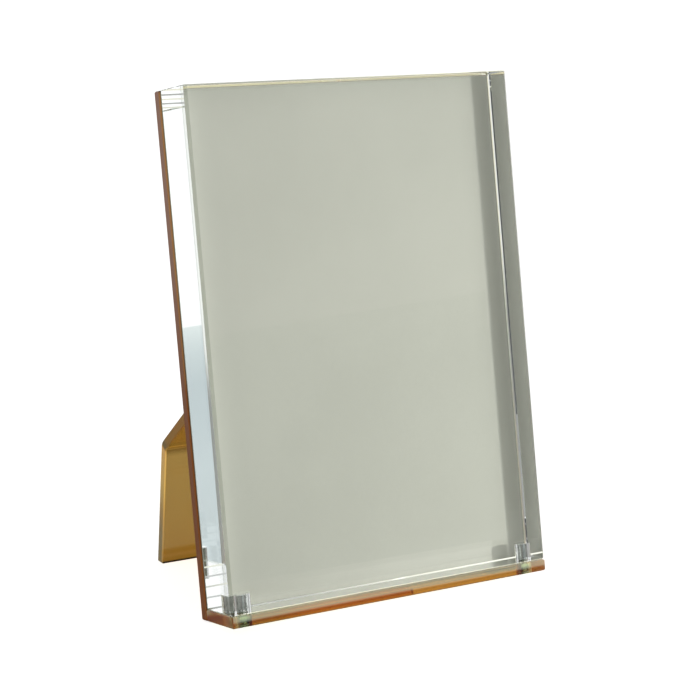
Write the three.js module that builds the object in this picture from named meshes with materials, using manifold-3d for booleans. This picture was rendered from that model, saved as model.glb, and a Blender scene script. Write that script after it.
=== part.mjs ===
// A clear acrylic photo block that stands on an L of amber acrylic, held by two pairs of magnets.
//
// The photo sheet stands between the block and the back plate. A bent amber leg, bonded to the back
// plate, props the frame so that it leans back. The whole stands on the back plate's lowest edge and
// on the leg's foot.
//
// Millimetres, +X to the right seen from the front, +Y to the back, +Z up. The origin is on the table
// at the middle of the footprint.

import * as THREE from 'three';
import { ConvexGeometry } from 'three/addons/geometries/ConvexGeometry.js';
import { mergeVertices } from 'three/addons/utils/BufferGeometryUtils.js';
import Module from 'manifold-3d';

const wasm = await Module();
wasm.setup();

// Driving dimensions: the print that the frame holds
const PRINT_WIDTH = 127;
const PRINT_HEIGHT = 177.8;
const SHEET_THICKNESS = 0.4;
const SHEET_TRIM = 0.5; // how far the sheet stays inside the block's outline

// Driving dimensions: acrylic stock and its polished edges
const BLOCK_THICKNESS = 20;
const BLOCK_UPRIGHT_CHAMFER = 1; // along the block's upright edges
const BLOCK_LEVEL_CHAMFER = 0.3; // round its top and its underside
const TINTED_THICKNESS = 4;
const TINTED_CHAMFER = 0.4;

// Driving dimensions: magnets
const MAGNET_DIAMETER = 6;
const MAGNET_ARRIS = 0.25; // the small chamfer round both ends
const BLOCK_MAGNET_HEIGHT = 6;
const BASE_MAGNET_HEIGHT = TINTED_THICKNESS; // these go right through the base plate
const MAGNET_INSET = 6.4; // from the side of the frame to the magnet's axis
const MAGNET_SETBACK = 8; // from the block's front face to the magnet's axis

// Driving dimensions: the lean and the leg
const LEAN = THREE.MathUtils.degToRad(10);
const LEG_WIDTH = 101.6;
const LEG_SETBACK = 66.8; // from the frame's resting edge to the back of the foot
const KNEE_HEIGHT = 47.7; // the outer corner of the bend, above the table
const SHIN_TILT = THREE.MathUtils.degToRad(7); // the lower part, from upright
const ARM_TILT = THREE.MathUtils.degToRad(52); // the upper part, from upright
const KNEE_RADIUS = 0.6; // the inside of the bend

// Clearances
const SEAT_GAP = 0.3; // between faces that rest on or are bonded to each other
const BORE_CLEARANCE = 0.2; // round a magnet and at the end of its bore

// Facets
const ROUND_SIDES = 64;
const BEND_STEPS = 8;

// Places along the frame's depth, in the leaning frame: 0 is the back plate's back face
const PLATE_FRONT = -TINTED_THICKNESS;
const SHEET_BACK = PLATE_FRONT - SEAT_GAP;
const SHEET_FRONT = SHEET_BACK - SHEET_THICKNESS;
const BLOCK_BACK = SHEET_FRONT - SEAT_GAP;
const BLOCK_FRONT = BLOCK_BACK - BLOCK_THICKNESS;
const BLOCK_MIDDLE = (BLOCK_FRONT + BLOCK_BACK) / 2;
const MAGNET_Y = BLOCK_FRONT + MAGNET_SETBACK;

// Places along the frame's height, in the leaning frame: 0 is the underside
const BASE_TOP = TINTED_THICKNESS;
const BLOCK_BOTTOM = BASE_TOP + SEAT_GAP;
const FRAME_TOP = BLOCK_BOTTOM + PRINT_HEIGHT;

const MAGNET_X = PRINT_WIDTH / 2 - MAGNET_INSET;
const SIDES = { left: -1, right: 1 };

const clearAcrylic = new THREE.MeshStandardMaterial({
  color: 0xe6eeee, roughness: 0.04, metalness: 0, transparent: true, opacity: 0.35,
});
const amberAcrylic = new THREE.MeshStandardMaterial({
  color: 0xa8641e, roughness: 0.06, metalness: 0, transparent: true, opacity: 0.75,
});
const paleCard = new THREE.MeshStandardMaterial({ color: 0xc4c6b6, roughness: 0.85, metalness: 0 });
const nickel = new THREE.MeshStandardMaterial({ color: 0xd6dce0, roughness: 0.22, metalness: 1 });

// A box centred on the origin, with one chamfer along its upright edges and one round its two ends
function chamferedBox(width, depth, height, upright, level) {
  const shortened = (2 - Math.SQRT2) * level; // what the upright chamfers lose within the level ones
  const rings = [
    { x: width / 2, y: depth / 2, z: height / 2 - level, cut: upright },
    { x: width / 2 - level, y: depth / 2 - level, z: height / 2, cut: upright - shortened },
  ];
  const corners = [];
  for (const { x, y, z, cut } of rings) {
    for (const sx of [-1, 1]) {
      for (const sy of [-1, 1]) {
        for (const sz of [-1, 1]) {
          corners.push(new THREE.Vector3(sx * (x - cut), sy * y, sz * z));
          corners.push(new THREE.Vector3(sx * x, sy * (y - cut), sz * z));
        }
      }
    }
  }
  return new ConvexGeometry(corners);
}

// The same body as a solid that can be cut
function solidOf(geometry) {
  const bare = geometry.clone();
  bare.deleteAttribute('normal');
  bare.deleteAttribute('uv');
  const merged = mergeVertices(bare);
  return new wasm.Manifold(new wasm.Mesh({
    numProp: 3,
    vertProperties: merged.attributes.position.array,
    triVerts: new Uint32Array(merged.index.array),
  }));
}

// A cut solid as geometry again
function geometryOf(solid) {
  const mesh = solid.getMesh();
  const geometry = new THREE.BufferGeometry();
  geometry.setAttribute('position', new THREE.BufferAttribute(mesh.vertProperties, 3));
  geometry.setIndex(new THREE.BufferAttribute(mesh.triVerts, 1));
  geometry.computeVertexNormals();
  return geometry;
}

// A bore for a magnet, as the solid that is cut away: from z = mouth to just beyond the magnet
function magnetBore(x, mouth, magnetHeight, into) {
  const radius = MAGNET_DIAMETER / 2 + BORE_CLEARANCE;
  const depth = magnetHeight + BORE_CLEARANCE;
  const overrun = MAGNET_DIAMETER / 2; // the cut starts outside the face that it opens
  const bore = new THREE.CylinderGeometry(radius, radius, depth + overrun, ROUND_SIDES);
  bore.rotateX(Math.PI / 2);
  bore.translate(x, MAGNET_Y, mouth + into * (depth - overrun) / 2);
  return solidOf(bore);
}

// A body with one magnet bore near each side
function withMagnetBores(geometry, mouth, magnetHeight, into) {
  let solid = solidOf(geometry);
  for (const side of Object.values(SIDES)) {
    solid = solid.subtract(magnetBore(side * MAGNET_X, mouth, magnetHeight, into));
  }
  return geometryOf(solid);
}

// The clear block, with the bores for its magnets in the underside
function clearBlock() {
  const edges = [BLOCK_UPRIGHT_CHAMFER, BLOCK_LEVEL_CHAMFER];
  const block = chamferedBox(PRINT_WIDTH, BLOCK_THICKNESS, PRINT_HEIGHT, ...edges);
  block.translate(0, BLOCK_MIDDLE, BLOCK_BOTTOM + PRINT_HEIGHT / 2);
  return withMagnetBores(block, BLOCK_BOTTOM, BLOCK_MAGNET_HEIGHT, 1);
}

// The photo sheet, standing on the base plate between the block and the back plate
function photoSheet() {
  const height = PRINT_HEIGHT - SHEET_TRIM;
  const sheet = new THREE.BoxGeometry(PRINT_WIDTH - 2 * SHEET_TRIM, SHEET_THICKNESS, height);
  sheet.translate(0, (SHEET_FRONT + SHEET_BACK) / 2, BLOCK_BOTTOM + height / 2);
  return sheet;
}

// A flat plate of tinted acrylic, centred on the origin
function tintedPlate(width, depth, height) {
  return chamferedBox(width, depth, height, TINTED_CHAMFER, TINTED_CHAMFER);
}

// The back plate, flush with the block's top and sides
function backPlate() {
  const plate = tintedPlate(PRINT_WIDTH, TINTED_THICKNESS, FRAME_TOP);
  plate.translate(0, PLATE_FRONT / 2, FRAME_TOP / 2);
  return plate;
}

// The base plate, bonded to the foot of the back plate, with the bores for its magnets
function basePlate() {
  const back = PLATE_FRONT - SEAT_GAP;
  const plate = tintedPlate(PRINT_WIDTH, back - BLOCK_FRONT, TINTED_THICKNESS);
  plate.translate(0, (BLOCK_FRONT + back) / 2, BASE_TOP / 2);
  return withMagnetBores(plate, BASE_TOP, BASE_MAGNET_HEIGHT, -1);
}

// A plated cylinder magnet, standing on z = bottom
function magnet(x, bottom, height) {
  const radius = MAGNET_DIAMETER / 2;
  const profile = [
    new THREE.Vector2(0, 0),
    new THREE.Vector2(radius - MAGNET_ARRIS, 0),
    new THREE.Vector2(radius, MAGNET_ARRIS),
    new THREE.Vector2(radius, height - MAGNET_ARRIS),
    new THREE.Vector2(radius - MAGNET_ARRIS, height),
    new THREE.Vector2(0, height),
  ];
  const body = new THREE.LatheGeometry(profile, ROUND_SIDES);
  body.rotateX(Math.PI / 2);
  body.translate(x, MAGNET_Y, bottom);
  return body;
}

// Where a line through one point meets a line through another
function meet(point, direction, other, otherDirection) {
  const toOther = other.clone().sub(point);
  const along = toOther.cross(otherDirection) / direction.cross(otherDirection);
  return point.clone().addScaledVector(direction, along);
}

// A unit vector that leans forward from upright by an angle: x runs to the back, y runs up
function upright(tilt) {
  return new THREE.Vector2(-Math.sin(tilt), Math.cos(tilt));
}

// The leg's section, from the frame's resting edge: x runs to the back, y runs up from the table
function legSection(plateFoot) {
  const plateUp = upright(-LEAN);
  const bondLine = plateFoot.clone().add(new THREE.Vector2(plateUp.y, -plateUp.x).multiplyScalar(SEAT_GAP));
  const shinUp = upright(SHIN_TILT);
  const armUp = upright(ARM_TILT);
  const knee = new THREE.Vector2(LEG_SETBACK, 0).addScaledVector(shinUp, KNEE_HEIGHT / shinUp.y);

  const middleTilt = (SHIN_TILT + ARM_TILT) / 2;
  const inward = new THREE.Vector2(-Math.cos(middleTilt), -Math.sin(middleTilt));
  const halfBend = Math.cos((ARM_TILT - SHIN_TILT) / 2);
  const innerKnee = knee.clone().addScaledVector(inward, TINTED_THICKNESS / halfBend);
  const centre = knee.clone().addScaledVector(inward, (KNEE_RADIUS + TINTED_THICKNESS) / halfBend);

  const armTop = meet(knee, armUp, bondLine, plateUp);
  const armUnderside = meet(innerKnee, armUp, bondLine, plateUp);
  const footFront = LEG_SETBACK - TINTED_THICKNESS / Math.cos(SHIN_TILT);

  const section = new THREE.Shape();
  section.moveTo(footFront, 0);
  section.lineTo(LEG_SETBACK, 0);
  section.absarc(centre.x, centre.y, KNEE_RADIUS + TINTED_THICKNESS, SHIN_TILT, ARM_TILT, false);
  section.lineTo(armTop.x, armTop.y);
  section.lineTo(armUnderside.x, armUnderside.y);
  section.absarc(centre.x, centre.y, KNEE_RADIUS, ARM_TILT, SHIN_TILT, true);
  section.closePath();
  return section;
}

// The bent leg: its arm is bonded to the back plate and its shin stands on the table
function easelLeg(plateFoot) {
  const leg = new THREE.ExtrudeGeometry(legSection(plateFoot), {
    depth: LEG_WIDTH - 2 * TINTED_CHAMFER,
    curveSegments: BEND_STEPS,
    bevelThickness: TINTED_CHAMFER,
    bevelSize: TINTED_CHAMFER,
    bevelOffset: -TINTED_CHAMFER,
    bevelSegments: 1,
  });
  leg.translate(0, 0, TINTED_CHAMFER - LEG_WIDTH / 2);
  const turn = new THREE.Matrix4().makeBasis(
    new THREE.Vector3(0, 1, 0),
    new THREE.Vector3(0, 0, 1),
    new THREE.Vector3(1, 0, 0),
  );
  leg.applyMatrix4(turn);
  return leg;
}

function named(name, geometry, material) {
  const mesh = new THREE.Mesh(geometry, material);
  mesh.name = name;
  return mesh;
}

// Everything that leans: the L, the sheet, the block and the magnets
function leaningFrame() {
  const group = new THREE.Group();
  group.add(named('clear_block', clearBlock(), clearAcrylic));
  group.add(named('photo_sheet', photoSheet(), paleCard));
  group.add(named('back_plate', backPlate(), amberAcrylic));
  group.add(named('base_plate', basePlate(), amberAcrylic));
  for (const [side, sign] of Object.entries(SIDES)) {
    const x = sign * MAGNET_X;
    const baseBottom = BASE_TOP - BASE_MAGNET_HEIGHT;
    group.add(named(`block_magnet_${side}`, magnet(x, BLOCK_BOTTOM, BLOCK_MAGNET_HEIGHT), nickel));
    group.add(named(`base_magnet_${side}`, magnet(x, baseBottom, BASE_MAGNET_HEIGHT), nickel));
  }
  group.rotation.x = -LEAN;
  return group;
}

// The back plate rests on the lower corner of its chamfer, so its own corner is just under the table's
// surface, at this place from the resting edge
const plateFoot = new THREE.Vector2(
  TINTED_CHAMFER * Math.cos(LEAN),
  -TINTED_CHAMFER * Math.sin(LEAN),
);

// The footprint runs from the base plate's front to the back of the foot
const footprintFront = plateFoot.x + BLOCK_FRONT * Math.cos(LEAN) + TINTED_CHAMFER * Math.sin(LEAN);
const footprintMiddle = (footprintFront + LEG_SETBACK) / 2;

const frame = new THREE.Group();
const leaning = leaningFrame();
leaning.position.set(0, plateFoot.x - footprintMiddle, plateFoot.y);
frame.add(leaning);
const leg = named('easel_leg', easelLeg(plateFoot), amberAcrylic);
leg.position.y = -footprintMiddle;
frame.add(leg);

export default frame;
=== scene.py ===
"""Finishes, studio and camera for the clear acrylic photo frame that stands on an amber acrylic easel."""

import logging
import math
from dataclasses import dataclass
from enum import Enum

import bmesh
import bpy
from mathutils import Matrix, Vector

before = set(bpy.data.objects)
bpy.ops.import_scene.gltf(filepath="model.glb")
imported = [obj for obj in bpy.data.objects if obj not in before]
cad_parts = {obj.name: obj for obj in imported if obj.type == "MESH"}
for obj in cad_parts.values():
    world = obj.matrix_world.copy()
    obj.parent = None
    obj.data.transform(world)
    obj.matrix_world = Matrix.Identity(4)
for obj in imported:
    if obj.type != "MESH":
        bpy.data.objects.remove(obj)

LOG = logging.getLogger("photo_frame")
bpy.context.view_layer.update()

Colour = tuple[float, float, float]
Point = tuple[float, float, float]
Socket = bpy.types.NodeSocket
Source = Socket | Colour | float
BLACK: Colour = (0.0, 0.0, 0.0)
WHITE: Colour = (1.0, 1.0, 1.0)

LEAN = math.radians(10)
CHAMFER = math.radians(45)
KNEE_MITRE = math.radians(29.5)
HALF_WIDTH = 0.0635


class Along(Enum):
    """The directions along which a finish changes."""

    UP = (0.0, 0.0, 1.0)
    LEANING_UP = (0.0, math.sin(LEAN), math.cos(LEAN))
    OVER_KNEE = (0.0, -math.sin(KNEE_MITRE), math.cos(KNEE_MITRE))
    ACROSS = (1.0, 0.0, 0.0)


class Facing(Enum):
    """The directions that the faces and the chamfered corners of the leaning pieces look in."""

    SIDE = (1.0, 0.0, 0.0)
    FRONT = (0.0, -math.cos(LEAN), math.sin(LEAN))
    TOP = (0.0, math.sin(LEAN), math.cos(LEAN))
    FRONT_TOP_CORNER = (0.0, -math.cos(LEAN + CHAMFER), math.sin(LEAN + CHAMFER))
    FRONT_FOOT_CORNER = (0.0, -math.cos(LEAN - CHAMFER), math.sin(LEAN - CHAMFER))
    FRONT_RIGHT_CORNER = (math.sin(CHAMFER), -math.cos(CHAMFER) * math.cos(LEAN),
                          math.cos(CHAMFER) * math.sin(LEAN))
    FRONT_LEFT_CORNER = (-math.sin(CHAMFER), -math.cos(CHAMFER) * math.cos(LEAN),
                         math.cos(CHAMFER) * math.sin(LEAN))


def srgb(red: int, green: int, blue: int) -> Colour:
    """Turns a display colour into scene-linear values.

    Args:
        red: Red, 0 to 255.
        green: Green, 0 to 255.
        blue: Blue, 0 to 255.

    Returns:
        The three linear values.
    """
    def linear(level: int) -> float:
        """One channel."""
        share = level / 255
        return share / 12.92 if share <= 0.04045 else ((share + 0.055) / 1.055) ** 2.4

    return linear(red), linear(green), linear(blue)


def rgba(colour: Colour) -> tuple[float, float, float, float]:
    """The same colour with full alpha."""
    return (*colour, 1.0)


class Sketch:
    """A node tree that is being filled, with short calls for adding and joining nodes."""

    def __init__(self, tree: bpy.types.NodeTree) -> None:
        """Starts on a tree.

        Args:
            tree: The node tree to fill.
        """
        self.tree = tree

    def add(self, kind: str, **settings: object) -> bpy.types.Node:
        """Adds a node.

        Args:
            kind: The node's type name.
            **settings: Attributes to set on it.

        Returns:
            The new node.
        """
        node = self.tree.nodes.new(kind)
        for name, value in settings.items():
            setattr(node, name, value)
        return node

    def join(self, source: Socket, target: Socket) -> None:
        """Links one socket to another."""
        self.tree.links.new(source, target)

    def put(self, source: Source, target: Socket) -> None:
        """Feeds a socket from another socket, or sets a plain colour or number on it.

        Args:
            source: The socket, colour or number.
            target: The socket to feed.
        """
        if isinstance(source, Socket):
            self.join(source, target)
        else:
            target.default_value = rgba(source) if target.type == "RGBA" else source

    def ramp(self, source: Socket, low: Source, high: Source, to_low: float, to_high: float,
             smooth: bool = True) -> Socket:
        """Maps a value from one range to another, held inside the new range.

        Args:
            source: The socket that gives the value.
            low: Start of the range it comes from.
            high: End of the range it comes from.
            to_low: What the start becomes.
            to_high: What the end becomes.
            smooth: Whether the ends are eased.

        Returns:
            The socket with the mapped value.
        """
        node = self.add("ShaderNodeMapRange", interpolation_type="SMOOTHSTEP" if smooth else "LINEAR")
        ends = (("From Min", low), ("From Max", high), ("To Min", to_low), ("To Max", to_high))
        for name, value in (("Value", source), *ends):
            self.put(value, node.inputs[name])
        return node.outputs["Result"]

    def mix(self, share: Source, first: Source, second: Source, kind: str = "RGBA",
            way: str = "MIX") -> Socket:
        """Blends two colours or two numbers.

        Args:
            share: The second one's share.
            first: The colour or number at 0.
            second: The colour or number at 1.
            kind: RGBA for colours, FLOAT for numbers.
            way: How colours are blended.

        Returns:
            The socket with the blend.
        """
        node = self.add("ShaderNodeMix", data_type=kind, blend_type=way)
        for name, value in (("Factor", share), ("A", first), ("B", second)):
            self.put(value, node.inputs[name])
        return node.outputs["Result"]

    def work(self, operation: str, first: Source, second: Source = 0.0) -> Socket:
        """Does one sum.

        Args:
            operation: The sum, by its name in the math node.
            first: The first number.
            second: The second number, where the sum has one.

        Returns:
            The socket with the result.
        """
        node = self.add("ShaderNodeMath", operation=operation)
        self.put(first, node.inputs[0])
        self.put(second, node.inputs[1])
        return node.outputs[0]

    def reach(self, place: Socket, direction: Source) -> Socket:
        """How far a place or a normal reaches along a direction.

        Args:
            place: The socket with the place or the normal.
            direction: The direction, as a unit vector.

        Returns:
            The socket with the distance or the cosine.
        """
        node = self.add("ShaderNodeVectorMath", operation="DOT_PRODUCT")
        self.join(place, node.inputs[0])
        self.put(direction, node.inputs[1])
        return node.outputs["Value"]

    def noise(self, place: Socket, scale: Source, detail: float, distortion: float = 0.0) -> Socket:
        """Lays a noise pattern.

        Args:
            place: The socket with the place.
            scale: The pattern's scale.
            detail: How many finer layers it has.
            distortion: How far it is bent.

        Returns:
            The socket with the pattern, 0 to 1.
        """
        node = self.add("ShaderNodeTexNoise")
        pattern = (("Scale", scale), ("Detail", detail), ("Distortion", distortion))
        for name, value in (("Vector", place), *pattern):
            self.put(value, node.inputs[name])
        return node.outputs["Fac"]

    def group(self, tree: bpy.types.ShaderNodeTree, **inputs: Source) -> bpy.types.Node:
        """Adds a shared group and feeds it.

        Args:
            tree: The group.
            **inputs: What feeds each of its inputs, with underscores for the spaces in a socket's name.

        Returns:
            The group's node.
        """
        node = self.add("ShaderNodeGroup", node_tree=tree)
        for name, value in inputs.items():
            self.put(value, node.inputs[name.replace("_", " ").title()])
        return node


@dataclass(frozen=True)
class Bands:
    """Colours that change along one direction of the object, each given at a distance in metres."""

    stops: tuple[tuple[float, Colour], ...]
    along: Along = Along.UP

    def lay(self, sketch: Sketch, place: Socket) -> Source:
        """Lays the colours over a material.

        Args:
            sketch: The material's sketch.
            place: The socket with the Object coordinates.

        Returns:
            The socket with the colour, or the colour itself where there is only one.
        """
        if len(self.stops) == 1:
            return self.stops[0][1]
        first, last = self.stops[0][0], self.stops[-1][0]
        share = sketch.ramp(sketch.reach(place, self.along.value), first, last, 0.0, 1.0, smooth=False)
        node = sketch.add("ShaderNodeValToRGB")
        stops = node.color_ramp.elements
        while len(stops) < len(self.stops):
            stops.new(0.5)
        for stop, (distance, colour) in zip(stops, self.stops):
            stop.position = (distance - first) / (last - first)
            stop.color = rgba(colour)
        sketch.join(share, node.inputs["Fac"])
        return node.outputs["Color"]


def all_over(colour: Colour) -> Bands:
    """One colour that doesn't change."""
    return Bands(((0.0, colour),))


def open_group(name: str, inputs: dict[str, float | Colour], outputs: tuple[str, ...],
               ) -> tuple[Sketch, bpy.types.Node, bpy.types.Node]:
    """Makes a shader node group with named sockets.

    Args:
        name: The group's name.
        inputs: Each float or vector input with its default. One called Vector is always added.
        outputs: The names of its float outputs.

    Returns:
        The sketch of its tree, its input node and its output node.
    """
    tree = bpy.data.node_groups.new(name, "ShaderNodeTree")
    tree.interface.new_socket("Vector", in_out="INPUT", socket_type="NodeSocketVector")
    for label, value in inputs.items():
        kind = "NodeSocketFloat" if isinstance(value, float) else "NodeSocketVector"
        socket = tree.interface.new_socket(label, in_out="INPUT", socket_type=kind)
        socket.default_value = value
    for label in outputs:
        tree.interface.new_socket(label, in_out="OUTPUT", socket_type="NodeSocketFloat")
    sketch = Sketch(tree)
    return sketch, sketch.add("NodeGroupInput"), sketch.add("NodeGroupOutput")


def polish_group(patch_detail: float = 3.0, patch_bend: float = 0.6, patch_from: float = 0.5,
                 patch_to: float = 0.8) -> bpy.types.ShaderNodeTree:
    """Hand polish on acrylic: a faint haze in patches.

    Args:
        patch_detail: How many finer layers the patches have.
        patch_bend: How far the patches are bent.
        patch_from: Where in the pattern a patch starts.
        patch_to: Where it is full.

    Returns:
        The node group, with the output Roughness.
    """
    sketch, given, out = open_group(
        "hand_polish", {"Haze Scale": 30.0, "Clear": 0.0, "Hazy": 0.03}, ("Roughness",))
    haze = sketch.noise(given.outputs["Vector"], given.outputs["Haze Scale"], patch_detail, patch_bend)
    share = sketch.ramp(haze, patch_from, patch_to, 0.0, 1.0)
    rough = sketch.mix(share, given.outputs["Clear"], given.outputs["Hazy"], "FLOAT")
    sketch.join(rough, out.inputs["Roughness"])
    return sketch.tree


def fibre_group(cloud_detail: float = 4.0, fibre_detail: float = 3.0, fibre_bend: float = 1.5,
                fibre_share: float = 0.35) -> bpy.types.ShaderNodeTree:
    """Short crossed fibres in a pressed sheet.

    Args:
        cloud_detail: How many finer layers the broad patches have.
        fibre_detail: How many finer layers the fibres have.
        fibre_bend: How far the fibres are bent.
        fibre_share: The fibres' share of the mask, beside the broad patches.

    Returns:
        The node group, with outputs Mask and Height.
    """
    sketch, given, out = open_group(
        "pressed_fibre", {"Fibre Scale": 900.0, "Cloud Scale": 22.0}, ("Mask", "Height"))
    cloud = sketch.noise(given.outputs["Vector"], given.outputs["Cloud Scale"], cloud_detail)
    fibre = sketch.noise(given.outputs["Vector"], given.outputs["Fibre Scale"], fibre_detail, fibre_bend)
    both = sketch.work("ADD", sketch.work("MULTIPLY", fibre, fibre_share),
                       sketch.work("MULTIPLY", cloud, 1.0 - fibre_share))
    sketch.join(both, out.inputs["Mask"])
    sketch.join(fibre, out.inputs["Height"])
    return sketch.tree


def edge_group() -> bpy.types.ShaderNodeTree:
    """Tells the edge of a plate that faces one direction, or its opposite, from the rest of its surface.

    Returns:
        The node group, with the output Mask: 1 on that edge and 0 elsewhere.
    """
    sketch, given, out = open_group(
        "plate_edge",
        {"Edge Direction": (1.0, 0.0, 0.0), "Edge From": 0.8, "Edge To": 0.95, "Both Ways": 1.0},
        ("Mask",),
    )
    turn = sketch.reach(given.outputs["Vector"], given.outputs["Edge Direction"])
    facing = sketch.mix(given.outputs["Both Ways"], turn, sketch.work("ABSOLUTE", turn), "FLOAT")
    mask = sketch.ramp(facing, given.outputs["Edge From"], given.outputs["Edge To"], 0.0, 1.0)
    sketch.join(mask, out.inputs["Mask"])
    return sketch.tree


def blank_material(name: str) -> tuple[bpy.types.Material, Sketch]:
    """Makes a material with an empty node tree.

    Args:
        name: The material's name.

    Returns:
        The material and its sketch.
    """
    material = bpy.data.materials.new(name)
    material.use_nodes = True
    material.node_tree.nodes.clear()
    return material, Sketch(material.node_tree)


@dataclass(frozen=True)
class Start:
    """A material that has its Principled shader, its output and its Object coordinates."""

    material: bpy.types.Material
    sketch: Sketch
    shader: bpy.types.Node
    output: bpy.types.Node
    place: Socket

    @classmethod
    def on(cls, name: str) -> "Start":
        """Starts a material.

        Args:
            name: The material's name.

        Returns:
            The started material.
        """
        material, sketch = blank_material(name)
        shader = sketch.add("ShaderNodeBsdfPrincipled")
        output = sketch.add("ShaderNodeOutputMaterial")
        sketch.join(shader.outputs["BSDF"], output.inputs["Surface"])
        return cls(material, sketch, shader, output, sketch.add("ShaderNodeTexCoord").outputs["Object"])

    def feed(self, name: str, source: Source) -> None:
        """Feeds one input of the shader."""
        self.sketch.put(source, self.shader.inputs[name])

    def edge(self, group: bpy.types.ShaderNodeTree, facing: Facing, span: tuple[float, float],
             both_ways: float = 1.0) -> Socket:
        """The share of a point that lies on the edge facing one direction.

        Args:
            group: The shared plate edge group.
            facing: The direction that the edge faces.
            span: Where the edge starts and is full, as cosines of the turn away from the direction.
            both_ways: 1 to take in the edge facing the opposite direction, 0 to leave it out.

        Returns:
            The socket with the share.
        """
        normal = self.sketch.add("ShaderNodeNewGeometry").outputs["Normal"]
        node = self.sketch.group(group, vector=normal, edge_direction=facing.value, edge_from=span[0],
                                 edge_to=span[1], both_ways=both_ways)
        return node.outputs["Mask"]


@dataclass(frozen=True)
class Acrylic:
    """Polished cast acrylic, tinted through its depth."""

    name: str
    tint: Colour
    density: float
    ior: float = 1.49
    haze_scale: float = 30.0
    clear: float = 0.0
    hazy: float = 0.02
    corner_span: tuple[float, float] = (0.93, 0.97)

    def start(self, polish: bpy.types.ShaderNodeTree) -> tuple[Start, Socket]:
        """Makes the material but for what feeds its roughness and its colours.

        Args:
            polish: The shared hand polish group.

        Returns:
            The started material and the polish's roughness.
        """
        begun = Start.on(self.name)
        begun.feed("IOR", self.ior)
        begun.feed("Transmission Weight", 1.0)
        begun.feed("Emission Strength", 1.0)
        marks = begun.sketch.group(polish, vector=begun.place, haze_scale=self.haze_scale, clear=self.clear,
                                   hazy=self.hazy)
        depth = begun.sketch.add("ShaderNodeVolumeAbsorption")
        begun.sketch.put(self.tint, depth.inputs["Color"])
        begun.sketch.put(self.density, depth.inputs["Density"])
        begun.sketch.join(depth.outputs["Volume"], begun.output.inputs["Volume"])
        return begun, marks.outputs["Roughness"]


@dataclass(frozen=True)
class PaintedCornerGlow:
    """A painted highlight: glowing colour laid along one chamfered corner of the block."""

    facing: Facing
    colour: Colour
    spread: Bands


@dataclass(frozen=True)
class ClearAcrylic(Acrylic):
    """Clear acrylic with painted highlights glowing on its front foot and front top corners and painted
    shade greying its front side corners.
    """

    # Painted highlights: emission on the front foot and front top chamfers stands in for light.
    painted_glows: tuple[PaintedCornerGlow, ...] = (
        PaintedCornerGlow(Facing.FRONT_FOOT_CORNER, (0.45, 0.43, 0.3),
                   Bands(((-HALF_WIDTH, BLACK), (-0.06, WHITE), (HALF_WIDTH, (0.8, 0.8, 0.85))),
                         Along.ACROSS)),
        PaintedCornerGlow(Facing.FRONT_TOP_CORNER, (0.5, 0.49, 0.38),
                   Bands(((-0.03, BLACK), (0.03, WHITE)), Along.ACROSS)),
    )
    # Painted shade: the front side chamfers are tinted grey.
    painted_shade_corners: tuple[Facing, ...] = (Facing.FRONT_RIGHT_CORNER, Facing.FRONT_LEFT_CORNER)
    painted_corner_shade: Colour = (0.72, 0.74, 0.69)

    def build(self, polish: bpy.types.ShaderNodeTree, edge: bpy.types.ShaderNodeTree) -> bpy.types.Material:
        """Makes the material.

        Args:
            polish: The shared hand polish group.
            edge: The shared plate edge group.

        Returns:
            The finished material.
        """
        begun, roughness = self.start(polish)
        begun.feed("Roughness", roughness)
        light: Source = BLACK
        # Paints the highlights on the chamfers as emission.
        for glow in self.painted_glows:
            spread = glow.spread.lay(begun.sketch, begun.place)
            tinted = begun.sketch.mix(1.0, spread, glow.colour, way="MULTIPLY")
            light = begun.sketch.mix(begun.edge(edge, glow.facing, self.corner_span, 0.0), light, tinted)
        begun.feed("Emission Color", light)
        # Paints shade on the front side chamfers by greying the tint there.
        tone: Source = WHITE
        for facing in self.painted_shade_corners:
            tone = begun.sketch.mix(begun.edge(edge, facing, self.corner_span, 0.0), tone, self.painted_corner_shade)
        begun.feed("Base Color", tone)
        return begun.material


@dataclass(frozen=True)
class Knee:
    """Where a sheet is bent, how it is hazed there, and the painted shade on its fold and on the arm past
    the knee.
    """

    height: float
    haze: float
    # Painted shade: tone darkens the fold, and past darkens and tints the arm beyond the knee.
    tone: Colour
    past: Colour
    reach: float = 0.003
    blur: float = 0.001


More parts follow.
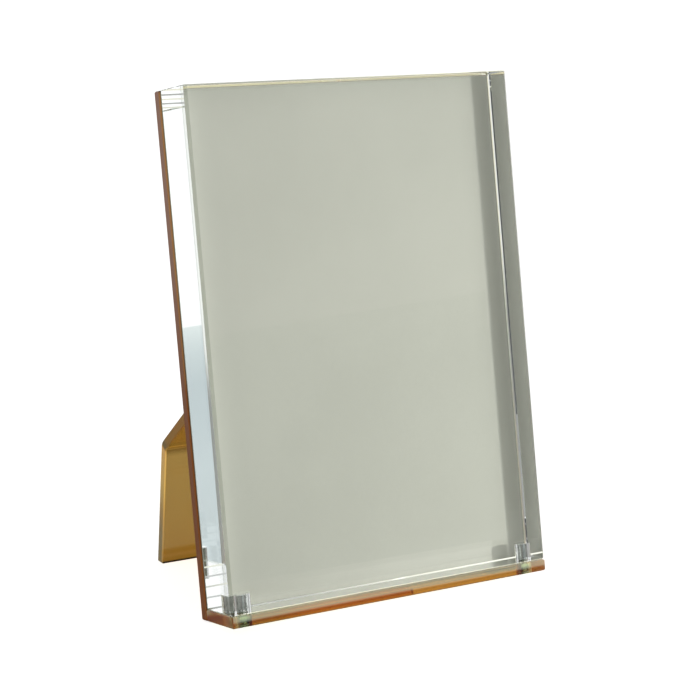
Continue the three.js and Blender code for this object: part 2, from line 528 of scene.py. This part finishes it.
@dataclass(frozen=True)
class PaintedGlowAcrylic(Acrylic):
    """Tinted acrylic with a painted glow: emission laid on its side edges and on a front band, with painted
    shade or painted highlight where given.
    """

    # Painted glow: emission on the side edges and on a band of the front face.
    painted_side_glow: Bands = all_over(BLACK)
    painted_front_glow: Bands | None = None
    body: Bands = all_over(WHITE)
    knee: Knee | None = None
    # Painted highlight: a pale glow on the front right chamfer.
    painted_corner_highlight: Colour | None = None
    edge_span: tuple[float, float] = (0.6, 0.7)
    satin: float = 0.4
    gloss: float = 0.5

    def build(self, polish: bpy.types.ShaderNodeTree, edge: bpy.types.ShaderNodeTree) -> bpy.types.Material:
        """Makes the material.

        Args:
            polish: The shared hand polish group.
            edge: The shared plate edge group.

        Returns:
            The finished material.
        """
        begun, roughness = self.start(polish)
        begun.feed("Specular IOR Level", self.gloss)
        sketch = begun.sketch
        tone = self.body.lay(sketch, begun.place)
        if self.knee:
            roughness, tone = self.bend(begun, roughness, tone)
        begun.feed("Base Color", tone)
        side = begun.edge(edge, Facing.SIDE, self.edge_span)
        begun.feed("Roughness", sketch.mix(side, roughness, self.satin, "FLOAT"))
        # Paints the glow on the edges and the front band as emission.
        light: Source = BLACK
        if self.painted_front_glow:
            front = begun.edge(edge, Facing.FRONT, self.edge_span)
            light = sketch.mix(front, BLACK, self.painted_front_glow.lay(sketch, begun.place))
        light = sketch.mix(side, light, self.painted_side_glow.lay(sketch, begun.place))
        # Paints the highlight on the front right chamfer as emission.
        if self.painted_corner_highlight:
            corner = begun.edge(edge, Facing.FRONT_RIGHT_CORNER, self.corner_span, 0.0)
            light = sketch.mix(corner, light, self.painted_corner_highlight)
        begun.feed("Emission Color", light)
        return begun.material

    def bend(self, begun: Start, roughness: Socket, tone: Source) -> tuple[Socket, Socket]:
        """Hazes the sheet at its knee, paints shade that darkens the fold, and paints shade that tints the
        arm past the knee.

        Args:
            begun: The started material.
            roughness: The roughness away from the knee.
            tone: The surface's tint below the knee.

        Returns:
            The sockets with the new roughness and tint.
        """
        knee, sketch = self.knee, begun.sketch
        over = sketch.reach(begun.place, Along.OVER_KNEE.value)
        past = sketch.ramp(over, knee.height - knee.blur, knee.height + knee.blur, 0.0, 1.0)
        near = sketch.work("ABSOLUTE", sketch.work("SUBTRACT", over, knee.height))
        hazed = sketch.work("ADD", roughness, sketch.ramp(near, 0.0, knee.reach, knee.haze, 0.0))
        fold = sketch.ramp(near, 0.0, knee.reach, 1.0, 0.0)
        # Paints shade on the fold and on the arm past the knee.
        return hazed, sketch.mix(fold, sketch.mix(past, tone, knee.past), knee.tone)


@dataclass(frozen=True)
class Card:
    """The pale card that the frame holds in place of a print."""

    name: str = "pale_card"
    light: Colour = srgb(208, 209, 194)
    dark: Colour = srgb(203, 204, 189)
    roughness: float = 0.7
    fibre_scale: float = 900.0
    cloud_scale: float = 20.0
    light_from: float = 0.35
    light_to: float = 0.65
    fibre_height: float = 0.15
    fibre_depth: float = 0.00003

    def build(self, fibre: bpy.types.ShaderNodeTree) -> bpy.types.Material:
        """Makes the material.

        Args:
            fibre: The shared fibre group.

        Returns:
            The finished material.
        """
        begun = Start.on(self.name)
        sketch = begun.sketch
        grain = sketch.group(fibre, vector=begun.place, fibre_scale=self.fibre_scale,
                             cloud_scale=self.cloud_scale)
        share = sketch.ramp(grain.outputs["Mask"], self.light_from, self.light_to, 0.0, 1.0)
        begun.feed("Base Color", sketch.mix(share, self.dark, self.light))
        begun.feed("Roughness", self.roughness)
        bump = sketch.add("ShaderNodeBump")
        sketch.put(self.fibre_height, bump.inputs["Strength"])
        sketch.put(self.fibre_depth, bump.inputs["Distance"])
        sketch.join(grain.outputs["Height"], bump.inputs["Height"])
        begun.feed("Normal", bump.outputs["Normal"])
        return begun.material


@dataclass(frozen=True)
class Nickel:
    """Bright nickel plate on the magnets, rubbed a little duller in patches, with a painted highlight that
    makes the end faces paler.
    """

    name: str = "nickel_plate"
    bright: Colour = srgb(196, 199, 194)
    worn: Colour = srgb(150, 154, 148)
    # Painted highlight: a paler colour on the magnets' end faces.
    painted_end_highlight: Colour = srgb(238, 241, 238)
    polished: float = 0.04
    rubbed: float = 0.16
    end_roughness: float = 0.55
    patch_scale: float = 350.0
    patch_detail: float = 4.0
    worn_from: float = 0.4
    rubbed_from: float = 0.35
    patch_full: float = 0.7
    end_span: tuple[float, float] = (0.8, 0.95)

    def build(self, edge: bpy.types.ShaderNodeTree) -> bpy.types.Material:
        """Makes the material.

        Args:
            edge: The shared plate edge group.

        Returns:
            The finished material.
        """
        begun = Start.on(self.name)
        sketch = begun.sketch
        begun.feed("Metallic", 1.0)
        patch = sketch.noise(begun.place, self.patch_scale, self.patch_detail)
        end = begun.edge(edge, Facing.TOP, self.end_span)
        share = sketch.ramp(patch, self.worn_from, self.patch_full, 0.0, 1.0)
        # Paints the highlight on the end faces.
        begun.feed("Base Color", sketch.mix(end, sketch.mix(share, self.bright, self.worn), self.painted_end_highlight))
        rough = sketch.ramp(patch, self.rubbed_from, self.patch_full, self.polished, self.rubbed)
        begun.feed("Roughness", sketch.mix(end, rough, self.end_roughness, "FLOAT"))
        return begun.material


def dress_nodes(names: tuple[str, ...], material: bpy.types.Material) -> list[str]:
    """Puts one material on every slot of the named nodes.

    Args:
        names: The nodes.
        material: The material.

    Returns:
        The names, as a list.
    """
    for name in names:
        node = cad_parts[name]
        if not node.material_slots:
            node.data.materials.append(material)
        for slot in node.material_slots:
            slot.material = material
        LOG.info("%s: %s", name, material.name)
    return list(names)


PLATE_TINT: Colour = (0.86, 0.607, 0.0)
PLATE_DENSITY = 148.0
# Painted shade: a near-black tint for the back plate's left margin.
PAINTED_MARGIN_SHADE: Colour = (0.04, 0.022, 0.008)
# Painted shadow: a darker gold tint for the leg's foot.
PAINTED_FOOT_SHADOW: Colour = (0.85, 0.74, 0.38)


@dataclass(frozen=True)
class AmberStand:
    """The L of amber acrylic with its bent leg and the base magnets."""

    back_plate: PaintedGlowAcrylic = PaintedGlowAcrylic(
        # Painted highlight on the front right chamfer of the back plate.
        "amber_back_plate", PLATE_TINT, PLATE_DENSITY, gloss=0.1, painted_corner_highlight=(0.16, 0.24, 0.25),
        # Painted glow: orange emission on the back plate's side edges.
        painted_side_glow=Bands(((0.0, (0.1, 0.024, 0.0)), (0.18, (0.105, 0.027, 0.0)))),
        # Painted shade: a near-black strip along the back plate's left margin.
        body=Bands(((-HALF_WIDTH, PAINTED_MARGIN_SHADE), (-0.0622, PAINTED_MARGIN_SHADE), (-0.0618, WHITE),
                    (HALF_WIDTH, WHITE)), Along.ACROSS),
    )
    base_plate: PaintedGlowAcrylic = PaintedGlowAcrylic(
        # Painted glow: red emission on the base plate's side edges, and a pale painted highlight band near
        # the top of its front.
        "amber_base_plate", PLATE_TINT, PLATE_DENSITY, painted_side_glow=all_over((0.05, 0.0, 0.0)),
        painted_front_glow=Bands(((-0.0021, BLACK), (-0.0013, (0.185, 0.23, 0.175))), Along.LEANING_UP),
        # Painted shade: the base plate's tint is darker and greener toward its left end.
        body=Bands(((-HALF_WIDTH, (0.56, 0.72, 0.66)), (-0.045, (0.56, 0.76, 0.66)),
                    (-0.03, (0.8, 0.88, 0.9)), (HALF_WIDTH, (0.74, 0.86, 0.95))), Along.ACROSS),
    )
    easel_leg: PaintedGlowAcrylic = PaintedGlowAcrylic(
        "amber_leg", tint=(0.952, 0.698, 0.0), density=420.0,
        # Painted glow: emission on the leg's side edges, brighter below the knee and dimmer past it.
        painted_side_glow=Bands(
            ((-0.0214, (0.14, 0.107, 0.048)), (-0.009, (0.15, 0.115, 0.05)), (-0.003, (0.22, 0.137, 0.04)),
             (0.0077, (0.36, 0.24, 0.06)), (0.015, (0.37, 0.24, 0.06)), (0.021, (0.4, 0.23, 0.06)),
             (0.022, (0.09, 0.06, 0.01)), (0.0235, (0.09, 0.06, 0.01)), (0.026, (0.16, 0.077, 0.002)),
             (0.06, (0.15, 0.07, 0.0))),
            Along.OVER_KNEE,
        ),
        # Painted shadow in the lowest 6 mm of the leg, with a painted light line at 2.6 mm.
        body=Bands(((0.0, PAINTED_FOOT_SHADOW), (0.0018, PAINTED_FOOT_SHADOW), (0.0026, (0.98, 0.86, 0.6)),
                    (0.0034, PAINTED_FOOT_SHADOW), (0.0048, PAINTED_FOOT_SHADOW), (0.0062, WHITE))),
        # Painted shade at the knee's fold and on the arm past it.
        knee=Knee(height=0.02201, haze=0.4, tone=(0.22, 0.17, 0.08), past=(0.78, 0.7, 0.42)),
    )
    magnets: tuple[str, ...] = ("base_magnet_left", "base_magnet_right")

    def dress(self, polish: bpy.types.ShaderNodeTree, edge: bpy.types.ShaderNodeTree,
              nickel: bpy.types.Material) -> list[str]:
        """Gives each piece its finish.

        Args:
            polish: The shared hand polish group.
            edge: The shared plate edge group.
            nickel: The magnets' plate.

        Returns:
            The names of the dressed pieces.
        """
        sheets = {"back_plate": self.back_plate, "base_plate": self.base_plate, "easel_leg": self.easel_leg}
        dressed = []
        for node, finish in sheets.items():
            dressed += dress_nodes((node,), finish.build(polish, edge))
        return dressed + dress_nodes(self.magnets, nickel)


@dataclass(frozen=True)
class ClearBlock:
    """The clear acrylic block with its own magnets."""

    acrylic: ClearAcrylic = ClearAcrylic("clear_acrylic", tint=(0.9, 0.97, 0.95), density=3.0, hazy=0.004)
    block: tuple[str, ...] = ("clear_block",)
    magnets: tuple[str, ...] = ("block_magnet_left", "block_magnet_right")

    def dress(self, polish: bpy.types.ShaderNodeTree, edge: bpy.types.ShaderNodeTree,
              nickel: bpy.types.Material) -> list[str]:
        """Gives each piece its finish.

        Args:
            polish: The shared hand polish group.
            edge: The shared plate edge group.
            nickel: The magnets' plate.

        Returns:
            The names of the dressed pieces.
        """
        return dress_nodes(self.block, self.acrylic.build(polish, edge)) + dress_nodes(self.magnets, nickel)


@dataclass(frozen=True)
class HeldSheet:
    """The sheet that stands behind the block."""

    card: Card = Card()
    sheet: tuple[str, ...] = ("photo_sheet",)

    def dress(self, fibre: bpy.types.ShaderNodeTree) -> list[str]:
        """Gives the sheet its finish.

        Args:
            fibre: The shared fibre group.

        Returns:
            The names of the dressed pieces.
        """
        return dress_nodes(self.sheet, self.card.build(fibre))


def set_up(name: str, shape: bmesh.types.BMesh,
           material: bpy.types.Material | None = None) -> bpy.types.Object:
    """Turns a finished shape into an object of the studio.

    Args:
        name: The object's name.
        shape: The shape, which is used up.
        material: Its finish, if it has one.

    Returns:
        The object, which is in the scene.
    """
    mesh = bpy.data.meshes.new(name)
    shape.to_mesh(mesh)
    shape.free()
    if material:
        mesh.materials.append(material)
    thing = bpy.data.objects.new(name, mesh)
    bpy.context.scene.collection.objects.link(thing)
    LOG.info("studio: %s", name)
    return thing


def gather(name: str, members: tuple[str, ...]) -> bpy.types.Collection:
    """Gathers objects for a lamp's light linking.

    Args:
        name: The collection's name.
        members: The objects' names.

    Returns:
        The collection, which isn't part of the scene.
    """
    collection = bpy.data.collections.new(name)
    for member in members:
        collection.objects.link(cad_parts.get(member) or bpy.data.objects[member])
    return collection


@dataclass(frozen=True)
class DarkSide:
    """The dark part of the room, at the front left, that the acrylic's faces show."""

    towards: Point = (-0.47, -0.86, 0.2)
    colour: Colour = (0.04, 0.04, 0.045)
    wall_from: float = 0.78
    wall_to: float = 0.88
    floor_from: float = 0.5
    floor_to: float = 0.7


@dataclass(frozen=True)
class Floor:
    """A pale floor: grey near the frame, white farther off and to the camera."""

    radius: float = 12.0
    sides: int = 64
    colour: Colour = (0.8, 0.8, 0.79)
    camera_lift: float = 0.8
    far_lift: float = 0.75
    near_edge: float = 0.4
    far_edge: float = 0.65

    def build(self, dark: DarkSide) -> None:
        """Makes the floor, a wide disc under the frame.

        Args:
            dark: The dark part of the room, where the far floor stays grey.
        """
        shape = bmesh.new()
        bmesh.ops.create_circle(shape, cap_ends=True, cap_tris=False, segments=self.sides,
                                radius=self.radius)
        floor = set_up("floor", shape, self.finish(dark))

    def finish(self, dark: DarkSide) -> bpy.types.Material:
        """The floor's finish, which the acrylic's faces see brighter where it is far off.

        Args:
            dark: The dark part of the room.

        Returns:
            The finished material.
        """
        material, sketch = blank_material("studio_floor")
        matt = sketch.add("ShaderNodeBsdfDiffuse")
        sketch.put(self.colour, matt.inputs["Color"])
        place = sketch.add("ShaderNodeTexCoord").outputs["Object"]
        distance = sketch.add("ShaderNodeVectorMath", operation="LENGTH")
        sketch.join(place, distance.inputs[0])
        outward = sketch.add("ShaderNodeVectorMath", operation="NORMALIZE")
        sketch.join(place, outward.inputs[0])
        far = sketch.ramp(distance.outputs["Value"], self.near_edge, self.far_edge, 0.0, self.far_lift)
        away = sketch.reach(outward.outputs["Vector"], dark.towards)
        lit = sketch.ramp(away, dark.floor_from, dark.floor_to, 1.0, 0.0)
        path = sketch.add("ShaderNodeLightPath")
        inside = sketch.work("MAXIMUM", path.outputs["Is Glossy Ray"], path.outputs["Is Transmission Ray"])
        seen = sketch.work("MULTIPLY", sketch.work("MULTIPLY", inside, far), lit)
        direct = sketch.work("MULTIPLY", path.outputs["Is Camera Ray"], self.camera_lift)
        glow = sketch.add("ShaderNodeEmission")
        sketch.put(sketch.work("ADD", seen, direct), glow.inputs["Strength"])
        both = sketch.add("ShaderNodeAddShader")
        sketch.join(matt.outputs["BSDF"], both.inputs[0])
        sketch.join(glow.outputs["Emission"], both.inputs[1])
        output = sketch.add("ShaderNodeOutputMaterial")
        sketch.join(both.outputs["Shader"], output.inputs["Surface"])
        return material


@dataclass(frozen=True)
class Surround:
    """The world: soft light all round, and white where it is seen."""

    colour: Colour = (0.45, 0.455, 0.445)
    behind_from: float = 0.2
    behind_to: float = 0.5

    def build(self, dark: DarkSide) -> None:
        """Sets the world.

        Args:
            dark: The dark part of the room.
        """
        world = bpy.data.worlds.new("surround")
        bpy.context.scene.world = world
        world.use_nodes = True
        world.node_tree.nodes.clear()
        sketch = Sketch(world.node_tree)
        towards = sketch.add("ShaderNodeTexCoord").outputs["Generated"]
        share = sketch.ramp(sketch.reach(towards, dark.towards), dark.wall_from, dark.wall_to, 0.0, 1.0)
        light = sketch.add("ShaderNodeBackground")
        sketch.put(sketch.mix(share, self.colour, dark.colour), light.inputs["Color"])
        white = sketch.add("ShaderNodeBackground")
        sketch.put(WHITE, white.inputs["Color"])
        axes = sketch.add("ShaderNodeSeparateXYZ")
        sketch.join(towards, axes.inputs[0])
        path = sketch.add("ShaderNodeLightPath")
        inside = sketch.work("MAXIMUM", path.outputs["Is Glossy Ray"], path.outputs["Is Transmission Ray"])
        behind = sketch.ramp(axes.outputs["Y"], self.behind_from, self.behind_to, 0.0, 1.0)
        seen = sketch.work("MAXIMUM", path.outputs["Is Camera Ray"], sketch.work("MULTIPLY", inside, behind))
        choice = sketch.add("ShaderNodeMixShader")
        sketch.join(seen, choice.inputs["Fac"])
        sketch.join(light.outputs["Background"], choice.inputs[1])
        sketch.join(white.outputs["Background"], choice.inputs[2])
        output = sketch.add("ShaderNodeOutputWorld")
        sketch.join(choice.outputs["Shader"], output.inputs["Surface"])


@dataclass(frozen=True)
class PalePanel:
    """A pale panel to the front right, bright above its step, that the block's left side shows."""

    distance: float = 1.0
    azimuth: float = math.radians(25)
    width: float = 1.6
    height: float = 1.1
    step: float = 0.2105
    step_blur: float = 0.0003
    low: Bands = Bands(((0.0, (0.66, 0.73, 0.75)), (0.085, (0.7, 0.78, 0.8)), (0.125, (0.65, 0.73, 0.755)),
                        (0.16, (0.63, 0.71, 0.735)), (0.19, (0.74, 0.82, 0.83)), (0.21, (0.86, 0.93, 0.92))))
    high: Colour = (1.2, 1.2, 1.2)
    mirrored: Colour = (0.82, 0.84, 0.84)

    def build(self) -> None:
        """Stretches a unit square to the panel's size, stands it up and turns it towards the frame."""
        shape = bmesh.new()
        bmesh.ops.create_grid(shape, x_segments=1, y_segments=1, size=0.5)
        bmesh.ops.scale(shape, vec=(self.width, self.height, 1.0), verts=shape.verts)
        upright = Matrix.Rotation(math.pi / 2, 3, "X")
        bmesh.ops.rotate(shape, cent=(0, 0, 0), matrix=upright, verts=shape.verts)
        bmesh.ops.translate(shape, vec=(0.0, -self.distance, self.height / 2), verts=shape.verts)
        turned = Matrix.Rotation(self.azimuth, 3, "Z")
        bmesh.ops.rotate(shape, cent=(0, 0, 0), matrix=turned, verts=shape.verts)
        panel = set_up("pale_panel", shape, self.finish())
        panel.visible_camera = False
        panel.visible_shadow = False

    def finish(self) -> bpy.types.Material:
        """The panel's glow: its step shows through the acrylic, and mirrored it is one plain grey.

        Returns:
            The finished material.
        """
        material, sketch = blank_material("pale_panel")
        place = sketch.add("ShaderNodeTexCoord").outputs["Object"]
        axes = sketch.add("ShaderNodeSeparateXYZ")
        sketch.join(place, axes.inputs[0])
        above = sketch.ramp(axes.outputs["Z"], self.step - self.step_blur, self.step, 0.0, 1.0)
        stepped = sketch.mix(above, self.low.lay(sketch, place), self.high)
        path = sketch.add("ShaderNodeLightPath")
        glow = sketch.add("ShaderNodeEmission")
        colour = sketch.mix(path.outputs["Is Transmission Ray"], self.mirrored, stepped)
        sketch.put(colour, glow.inputs["Color"])
        output = sketch.add("ShaderNodeOutputMaterial")
        sketch.join(glow.outputs["Emission"], output.inputs["Surface"])
        return material


@dataclass(frozen=True)
class SideFlag:
    """A thin flag on the block's right side, where the real block turns the slot lamp's light away."""

    name: str = "side_flag"
    block: str = "clear_block"
    gap: float = 0.0001
    facing_right: float = 0.999
    unseen: tuple[str, ...] = ("camera", "diffuse", "glossy", "transmission", "volume_scatter")

    def build(self) -> None:
        """Hangs the flag, which only takes part in shadows."""
        shape = bmesh.new()
        shape.from_mesh(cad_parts[self.block].data)
        others = [face for face in shape.faces if face.normal.x < self.facing_right]
        bmesh.ops.delete(shape, geom=others, context="FACES")
        bmesh.ops.translate(shape, vec=(self.gap, 0.0, 0.0), verts=shape.verts)
        flag = set_up(self.name, shape)
        for kind in self.unseen:
            setattr(flag, f"visible_{kind}", False)


@dataclass(frozen=True)
class SlotLamp:
    """A small bright lamp close by at the right, whose light the clear block doesn't stop."""

    name: str = "bright_slot"
    place: Point = (0.168, -0.3, 0.08)
    aim: Point = (0.0, -0.02, 0.08)
    width: float = 0.012
    tall: float = 0.02
    radiance: float = 440.0
    lights: tuple[str, ...] = ("photo_sheet", "back_plate", "base_plate", "easel_leg", "block_magnet_left",
                               "block_magnet_right")

    def build(self, flag: SideFlag) -> None:
        """Hangs the lamp.

        Args:
            flag: The flag that shades it.
        """
        data = bpy.data.lights.new(self.name, "AREA")
        data.shape = "RECTANGLE"
        data.size = self.width
        data.size_y = self.tall
        data.energy = math.pi * self.width * self.tall * self.radiance
        lamp = bpy.data.objects.new(self.name, data)
        lamp.location = self.place
        lamp.rotation_euler = (Vector(self.aim) - lamp.location).to_track_quat("-Z", "Y").to_euler()
        lamp.visible_glossy = False
        lamp.visible_transmission = False
        bpy.context.scene.collection.objects.link(lamp)
        lamp.light_linking.receiver_collection = gather(f"lit_by_{self.name}", self.lights)
        lamp.light_linking.blocker_collection = gather(f"shade_for_{self.name}", self.lights + (flag.name,))
        LOG.info("studio: %s", self.name)


@dataclass(frozen=True)
class Studio:
    """A white floor, a pale surround, a pale panel and one small lamp from the front right."""

    dark: DarkSide = DarkSide()
    floor: Floor = Floor()
    surround: Surround = Surround()
    panel: PalePanel = PalePanel()
    flag: SideFlag = SideFlag()
    lamp: SlotLamp = SlotLamp()

    def build(self) -> None:
        """Builds the whole studio."""
        self.floor.build(self.dark)
        self.surround.build(self.dark)
        self.panel.build()
        self.flag.build()
        self.lamp.build(self.flag)


@dataclass(frozen=True)
class Viewpoint:
    """The camera, where the photograph was taken from."""

    place: Point = (-0.33562, -0.61045, 0.23626)
    azimuth: float = math.radians(29.3011)
    pitch: float = math.radians(12.2763)
    lens: float = 101.546
    sensor: float = 36.0
    nearest: float = 0.01
    farthest: float = 100.0

    def build(self) -> None:
        """Makes the camera and hands it to the scene."""
        data = bpy.data.cameras.new("viewpoint")
        data.lens = self.lens
        data.sensor_width = self.sensor
        data.clip_start = self.nearest
        data.clip_end = self.farthest
        camera = bpy.data.objects.new("viewpoint", data)
        camera.location = self.place
        camera.rotation_euler = (math.pi / 2 - self.pitch, 0.0, -self.azimuth)
        bpy.context.scene.collection.objects.link(camera)
        bpy.context.scene.camera = camera


@dataclass(frozen=True)
class LightPaths:
    """How often light may turn inside the acrylic, whose many inner faces all show."""

    bounces: int = 40
    through: int = 36
    mirrored: int = 36
    scattered: int = 6

    def build(self) -> None:
        """Sets the light paths and the plain view transform."""
        scene = bpy.context.scene
        scene.view_settings.view_transform = "Standard"
        scene.cycles.max_bounces = self.bounces
        scene.cycles.transmission_bounces = self.through
        scene.cycles.glossy_bounces = self.mirrored
        scene.cycles.diffuse_bounces = self.scattered
        scene.cycles.blur_glossy = 0.0


def main() -> None:
    """Dresses the frame and builds the studio round it."""
    logging.basicConfig(level=logging.INFO, format="%(name)s: %(message)s")
    polish = polish_group()
    edge = edge_group()
    nickel = Nickel().build(edge)
    dressed = AmberStand().dress(polish, edge, nickel)
    dressed += ClearBlock().dress(polish, edge, nickel)
    dressed += HeldSheet().dress(fibre_group())
    LOG.info("%d pieces dressed", len(dressed))
    Studio().build()
    Viewpoint().build()
    LightPaths().build()


if __name__ == "__main__":
    main()
